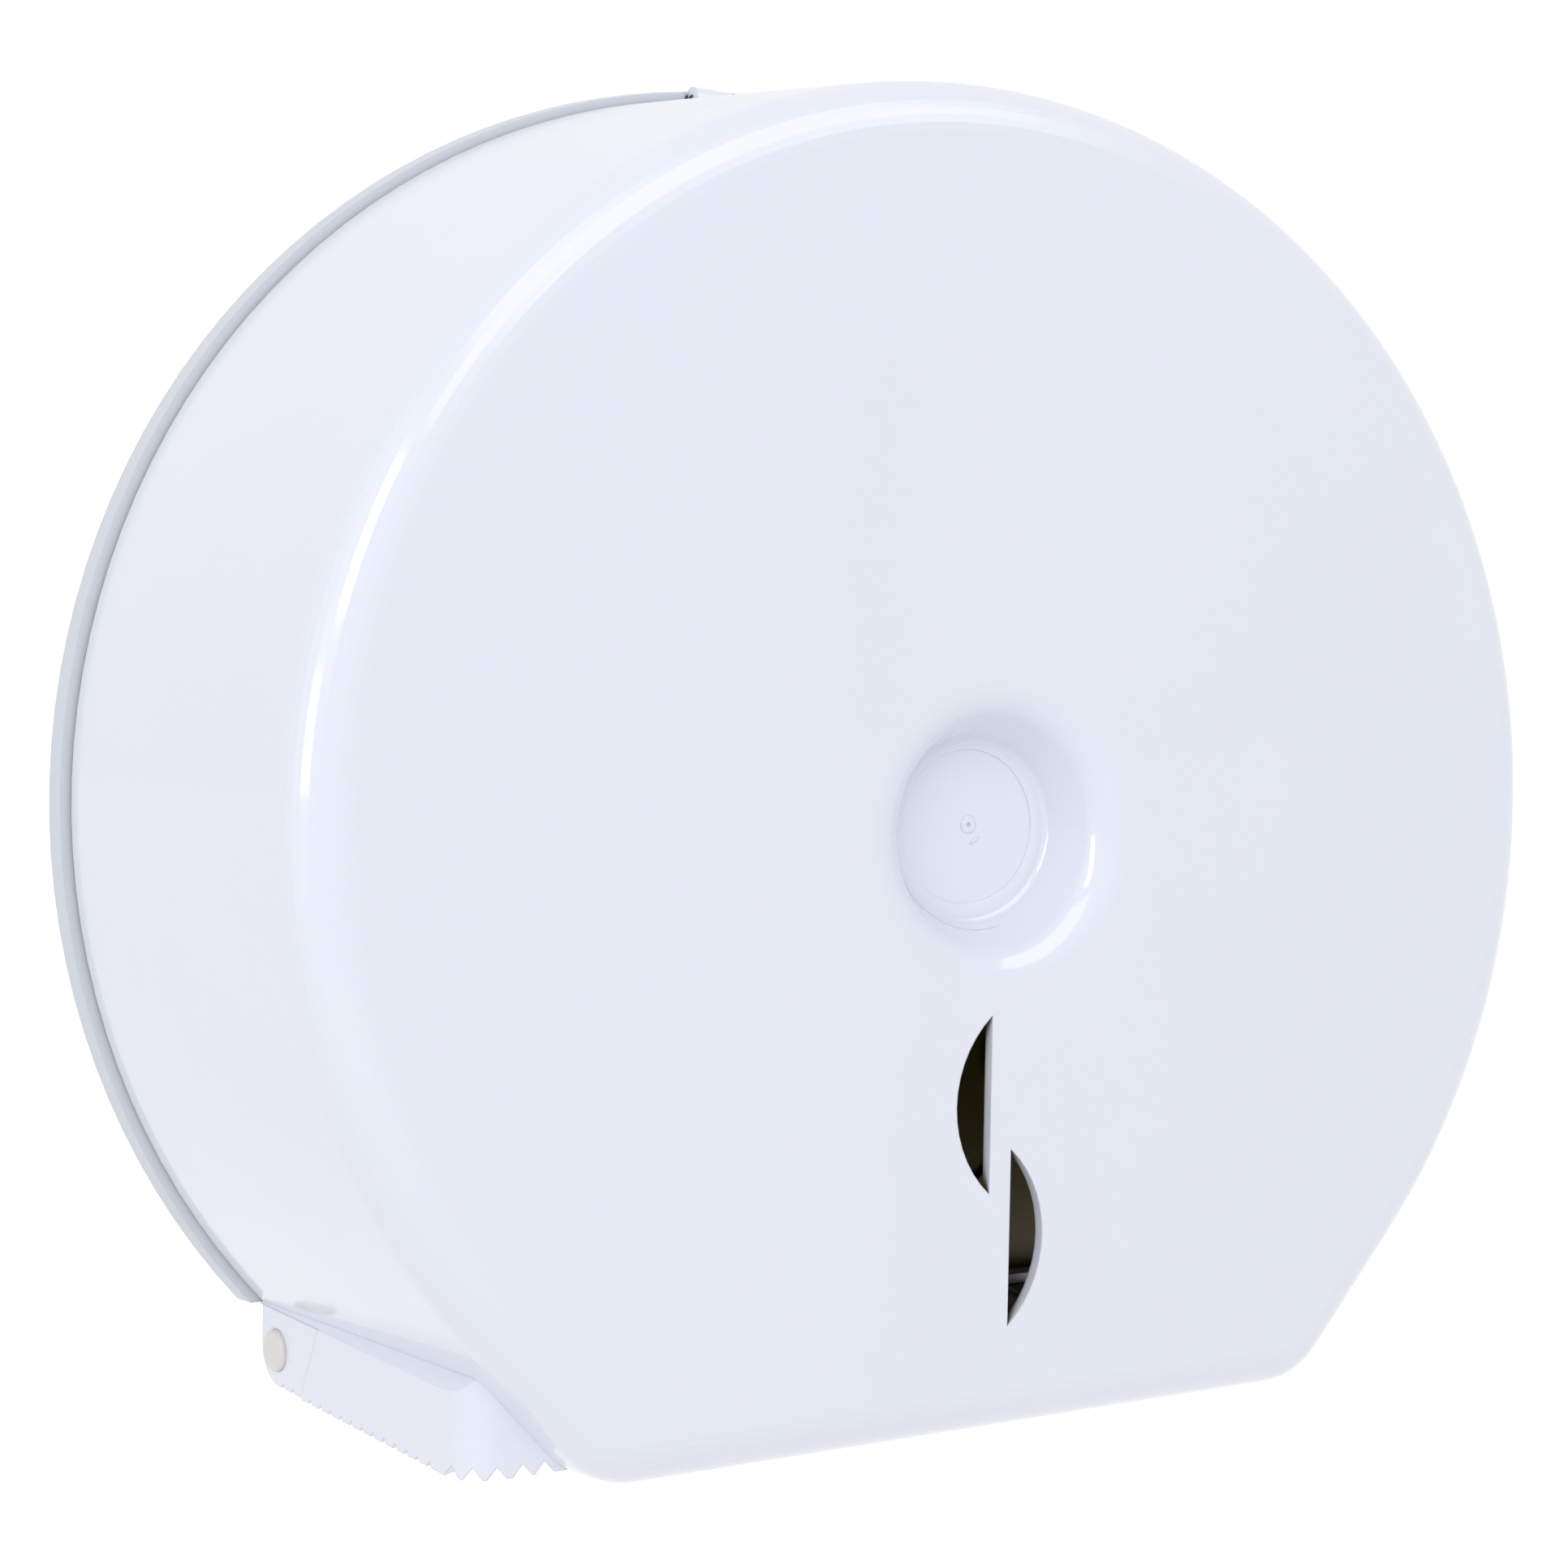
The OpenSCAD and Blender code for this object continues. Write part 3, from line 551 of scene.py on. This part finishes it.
def gate_mark(bm):
    """Ring and pit where the moulding was filled, and the nub cut off beside it."""
    place = facing_front(0, DIMPLE_FLOOR_Y, DIMPLE_Z + 1.2 * MM)
    lathe(bm, in_mm([(0, 0.02), (0.35, 0.03), (0.55, 0.30), (0.95, 0.36), (1.5, 0.30),
                     (1.9, 0.12), (2.05, -0.08), (0, -0.08)]), place, 48, closed=False)
    nub = place @ Matrix.Translation((1.6 * MM, -3.3 * MM, 0)) @ Matrix.Rotation(0.6, 4, "Z")
    nub = nub @ Matrix.Diagonal((1.9, 0.6, 1, 1))
    lathe(bm, in_mm([(0, 0.30), (0.5, 0.24), (0.72, 0.08), (0.75, -0.08), (0, -0.08)]),
          nub, 24, closed=False)


def outlet_webs(bm):
    """Small webs that round the rear inner corners of the two paper outlets."""
    start, reach, rear, length = 69.3 * MM, 7.7 * MM, -6.2 * MM, 18 * MM
    top, under = -126.15 * MM, -129.7 * MM
    turns = [math.pi / 2 * i / 12 for i in range(13)]
    outline = [(start, rear)] + [(start + reach * math.cos(t), rear - length * math.sin(t))
                                 for t in turns]
    for side in (-1, 1):
        rings = [[bm.verts.new((side * x, y, z)) for x, y in outline] for z in (under, top)]
        count = len(outline)
        for i in range(count):
            k = (i + 1) % count
            bm.faces.new((rings[0][i], rings[0][k], rings[1][k], rings[1][i]))
        for ring in rings:
            bm.faces.new(ring)


class MakePlate(bpy.types.Operator):
    """Finish the wall plate"""
    bl_idname = "dispenser.plate"
    bl_label = "Back plate"

    def execute(self, context):
        # painted shade on the plate behind the outlets, and painted light on its rail's front
        # strip
        material = moulded_plastic("plate_grey", colors().plate, 0.38, painted_shade_openness=PLATE_SHADE_OPENNESS,
                                   rail=True)
        smooth_node("back_plate", material)
        return {"FINISHED"}


class MakeButtons(bpy.types.Operator):
    """Finish the two release buttons"""
    bl_idname = "dispenser.buttons"
    bl_label = "Release buttons"

    def execute(self, context):
        material = moulded_plastic("button_ivory", colors().button, 0.34, painted_shade_openness=None)
        for side in ("left", "right"):
            smooth_node(f"release_button_{side}", material)
        return {"FINISHED"}


class MakeHub(bpy.types.Operator):
    """Finish the spindle, the hub, its washers and its cap"""
    bl_idname = "dispenser.hub"
    bl_label = "Spindle and hub"

    def execute(self, context):
        plastic = moulded_plastic("hub_plastic", colors().hub, 0.48, grain=0.00008)
        for node in ("spindle", "core_hub", "core_adaptor"):
            smooth_node(node, plastic)
        nylon = moulded_plastic("washer_nylon", NYLON, 0.42)
        smooth_node("thrust_washer", nylon)
        smooth_node("brake_washer", soft_rubber("brake_rubber", colors().rubber))
        cap = mesh_piece("spindle_cap", retainer_cap, "wall_part",
                         moulded_plastic("cap_white", colors().cover, 0.32))
        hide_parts("retainer_cap")
        return {"FINISHED"}


def retainer_cap(bm):
    """Cap with a rounded edge, a finger groove and a seat for its screw."""
    low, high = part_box("retainer_cap")
    top, half = high.y / MM, (high.x - low.x) / 2 / MM
    place = facing_front(0, 0, 0)
    face, foot, under = -low.y / MM, -top, -low.y / MM - 2.6
    outline = rounded([(1.86, foot), (11.9, foot), (11.9, under), (half, under), (half, face),
                       (half - 3, face), (half - 4, face - 0.5), (half - 7, face - 0.5),
                       (half - 8, face), (4.0, face), (3.3, face - 0.3),
                       (3.3, face - 1.6), (1.86, face - 1.6)], 0.5)
    lathe(bm, in_mm(outline), place, 96)


class MakeSteel(bpy.types.Operator):
    """Finish the screws, the hinge pin and the latch springs"""
    bl_idname = "dispenser.steel"
    bl_label = "Steel parts"

    def execute(self, context):
        plated = rolled_steel("zinc_steel", colors().steel, 0.30, (1, 1, 1))
        strip = rolled_steel("spring_steel", colors().steel, 0.22, (1, 0.02, 1))
        hinge_pin(plated)
        head = SCREW_HEAD[1]
        low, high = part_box("spindle_screws")
        heads = [facing_front(SCREW_CIRCLE * math.cos(a), low.y + head * MM,
                              SCREW_CIRCLE * math.sin(a))
                 for a in (math.radians(45 + 90 * i) for i in range(4))]
        screws("foot_screw_set", heads, (1.75, -(low.y - high.y) / MM - head),
               "wall_part", "spindle_screws", plated)
        low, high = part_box("cap_screw")
        screws("spindle_cap_screw", [facing_front(0, low.y + head * MM, 0)],
               (1.75, 12), "wall_part", "cap_screw", plated)
        seats = [at_latch(side) @ Matrix.Translation((LATCH_SCREW, 0, SPRING_Z - SPRING_T))
                 @ Matrix.Rotation(math.pi, 4, "X") for side in ("left", "right")]
        screws("latch_screw_set", seats, (1.2, 3.3),
               "cover", "latch_screws", plated)
        for side in ("left", "right"):
            latch_spring(side, strip)
        return {"FINISHED"}


def hinge_pin(material):
    """Pin with chamfered ends in the hinge's barrels."""
    low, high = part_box("hinge_pin")
    centre, half = (low + high) / 2, (high.x - low.x) / 2 / MM
    r = (high.z - low.z) / 2 / MM
    place = Matrix.Translation(centre) @ Matrix.Rotation(math.radians(90), 4, "Y")
    profile = [(0, -half), (r - 0.4, -half), (r, 0.4 - half), (r, half - 0.4),
               (r - 0.4, half), (0, half)]
    pin = mesh_piece("hinge_rod", lambda bm: lathe(bm, in_mm(profile), place, 48, False),
                     "wall_part", material)
    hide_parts("hinge_pin")


def latch_spring(side, material):
    """Spring strip with rounded ends, bent up into a hook behind the button."""
    place = at_latch(side)
    bend, hook_x, hook_top = 0.9 * MM, 8.2 * MM, -3.86 * MM
    mid = SPRING_Z - SPRING_T / 2
    front = LATCH_SCREW - SPRING_W / 2

    def build(bm):
        path, across, widths = [], [], []
        for i in range(9):
            back = SPRING_W / 2 * (1 - math.sin(math.pi / 2 * i / 8))
            path.append(Vector((front + SPRING_W / 2 - back if i else front, 0, mid)))
            widths.append(max(0.15, math.sqrt(max(0.0, 1 - (back / (SPRING_W / 2)) ** 2))))
            across.append(Vector((0, 0, 1)))
        for i in range(9):
            a = math.pi / 2 * i / 8
            path.append(Vector((hook_x - bend + bend * math.sin(a), 0,
                                mid + bend * (1 - math.cos(a)))))
            across.append(Vector((-math.sin(a), 0, math.cos(a))))
            widths.append(1.0)
        path.append(Vector((hook_x, 0, hook_top)))
        across.append(Vector((-1, 0, 0)))
        widths.append(0.9)
        half_w, half_t, edge = SPRING_W / 2, SPRING_T / 2, 0.12 * MM
        section = [(-half_w, -half_t + edge), (-half_w + edge, -half_t),
                   (half_w - edge, -half_t), (half_w, -half_t + edge),
                   (half_w, half_t - edge), (half_w - edge, half_t),
                   (-half_w + edge, half_t), (-half_w, half_t - edge)]
        sides = [(place.to_3x3() @ Vector((0, w, 0)), place.to_3x3() @ up)
                 for w, up in zip(widths, across)]
        sweep(bm, [place @ p for p in path], sides, section)

    spring = mesh_piece(f"latch_strip_{side}", build, "cover", material)
    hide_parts(f"latch_spring_{side}")


class MakeStage(bpy.types.Operator):
    """Add the pale floor, the soft lamps and the camera"""
    bl_idname = "dispenser.stage"
    bl_label = "Stage"

    def execute(self, context):
        scene = context.scene
        stage = scene.dispenser_stage
        scene.view_settings.view_transform = "Standard"
        add_daylight(scene, stage.daylight)
        add_floor(scene, stage.floor_drop)
        for name, (place, size, gloss_only) in LAMPS.items():
            add_lamp(scene, name, place, size, getattr(stage, name), gloss_only)
        add_camera(scene)
        return {"FINISHED"}


def seen_directly(tree):
    """1 for rays from the camera, from glossy faces and through clear ones."""
    path = tree.nodes.new("ShaderNodeLightPath")
    value = path.outputs["Is Camera Ray"]
    for kind in ("Is Glossy Ray", "Is Transmission Ray"):
        either = tree.nodes.new("ShaderNodeMath")
        either.operation = "MAXIMUM"
        tree.links.new(value, either.inputs[0])
        tree.links.new(path.outputs[kind], either.inputs[1])
        value = either.outputs[0]
    return value


def add_daylight(scene, strength):
    """Even light from all sides, seen as plain white where it is looked at."""
    world = bpy.data.worlds.new("studio")
    scene.world = world
    world.use_nodes = True
    tree = world.node_tree
    light = tree.nodes["Background"]
    light.inputs["Color"].default_value = (1, 1, 1, 1)
    light.inputs["Strength"].default_value = strength
    white = tree.nodes.new("ShaderNodeBackground")
    white.inputs["Color"].default_value = (1, 1, 1, 1)
    mixed = tree.nodes.new("ShaderNodeMixShader")
    tree.links.new(seen_directly(tree), mixed.inputs["Fac"])
    tree.links.new(light.outputs["Background"], mixed.inputs[1])
    tree.links.new(white.outputs["Background"], mixed.inputs[2])
    tree.links.new(mixed.outputs["Shader"], tree.nodes["World Output"].inputs["Surface"])


def add_floor(scene, drop):
    """Pale floor: white where the light reaches it, with the object's soft shadow."""
    mesh = bpy.data.meshes.new("studio_floor")
    corners = [(x * FLOOR_REACH, y * FLOOR_REACH, -drop)
               for x, y in ((-1, -1), (1, -1), (1, 1), (-1, 1))]
    mesh.from_pydata(corners, [], [(0, 1, 2, 3)])
    floor = bpy.data.objects.new("studio_floor", mesh)
    scene.collection.objects.link(floor)
    s = Shader("studio_white")
    s.link(s.remap(s.noise(3, 3), 0.3, 0.7, 0.86, 0.9), s.bsdf.inputs["Roughness"])
    s.bsdf.inputs["Base Color"].default_value = (0.85, 0.85, 0.85, 1)
    glow = s.add("ShaderNodeEmission")
    s.link(s.remap(seen_directly(s.tree), 0, 1, 0, 0.35), glow.inputs["Strength"])
    both = s.add("ShaderNodeAddShader")
    s.link(s.bsdf.outputs["BSDF"], both.inputs[0])
    s.link(glow.outputs["Emission"], both.inputs[1])
    s.link(both.outputs["Shader"], s.out.inputs["Surface"])
    mesh.materials.append(s.material)


def add_lamp(scene, name, place, size, power, gloss_only):
    """Soft lamp at (degrees to the right, degrees up, distance, roll) from the object."""
    a, e, roll = (math.radians(angle) for angle in (place[0], place[1], place[3]))
    distance = place[2]
    toward = Vector((math.sin(a) * math.cos(e), -math.cos(a) * math.cos(e), math.sin(e)))
    lamp = bpy.data.lights.new(name, "AREA")
    lamp.shape = "RECTANGLE"
    lamp.size, lamp.size_y = size
    lamp.energy = power
    obj = bpy.data.objects.new(name, lamp)
    scene.collection.objects.link(obj)
    obj.visible_diffuse = not gloss_only
    obj.visible_glossy = gloss_only
    obj.matrix_world = (Matrix.Translation(distance * toward)
                        @ toward.to_track_quat("Z", "Y").to_matrix().to_4x4()
                        @ Matrix.Rotation(roll, 4, "Z"))


def add_camera(scene):
    """Sets the camera from its direction, distance, roll and lens."""
    azimuth, elevation, roll = (math.radians(a) for a in (-28.821, 1.880, 1.0286))
    target = Vector((0.00668, 0.0, 0.00278))
    distance = 0.5692
    back = Vector((math.sin(azimuth) * math.cos(elevation),
                   -math.cos(azimuth) * math.cos(elevation), math.sin(elevation)))
    level = (-back).cross(Vector((0, 0, 1))).normalized()
    upright = level.cross(-back)
    right = math.cos(roll) * level + math.sin(roll) * upright
    up = -math.sin(roll) * level + math.cos(roll) * upright
    turned = Matrix((right, up, back)).transposed().to_4x4()
    data = bpy.data.cameras.new("camera")
    data.sensor_width = 36.0
    data.lens = 52.96
    data.clip_start = 0.01
    camera = bpy.data.objects.new("camera", data)
    scene.collection.objects.link(camera)
    camera.matrix_world = Matrix.Translation(target + distance * back) @ turned
    scene.camera = camera


class DispenserPanel(bpy.types.Panel):
    """Buttons and settings of the dispenser"""
    bl_idname = "VIEW3D_PT_dispenser"
    bl_label = "Dispenser"
    bl_space_type = "VIEW_3D"
    bl_region_type = "UI"
    bl_category = "Dispenser"

    def draw(self, context):
        layout = self.layout
        for group in (context.scene.dispenser_colors, context.scene.dispenser_stage):
            box = layout.box()
            for key in group.__annotations__:
                box.prop(group, key)
        for operator in OPERATORS:
            layout.operator(operator.bl_idname)


OPERATORS = (MakeCover, MakePlate, MakeButtons, MakeHub, MakeSteel, MakeStage)
CLASSES = (DispenserColors, DispenserStage, *OPERATORS, DispenserPanel)


def register():
    for each in CLASSES:
        bpy.utils.register_class(each)
    bpy.types.Scene.dispenser_colors = PointerProperty(type=DispenserColors)
    bpy.types.Scene.dispenser_stage = PointerProperty(type=DispenserStage)


def unregister():
    del bpy.types.Scene.dispenser_stage
    del bpy.types.Scene.dispenser_colors
    for each in reversed(CLASSES):
        bpy.utils.unregister_class(each)


def main():
    register()
    for operator in OPERATORS:
        group, call = operator.bl_idname.split(".")
        getattr(getattr(bpy.ops, group), call)()


if __name__ == "__main__":
    main()
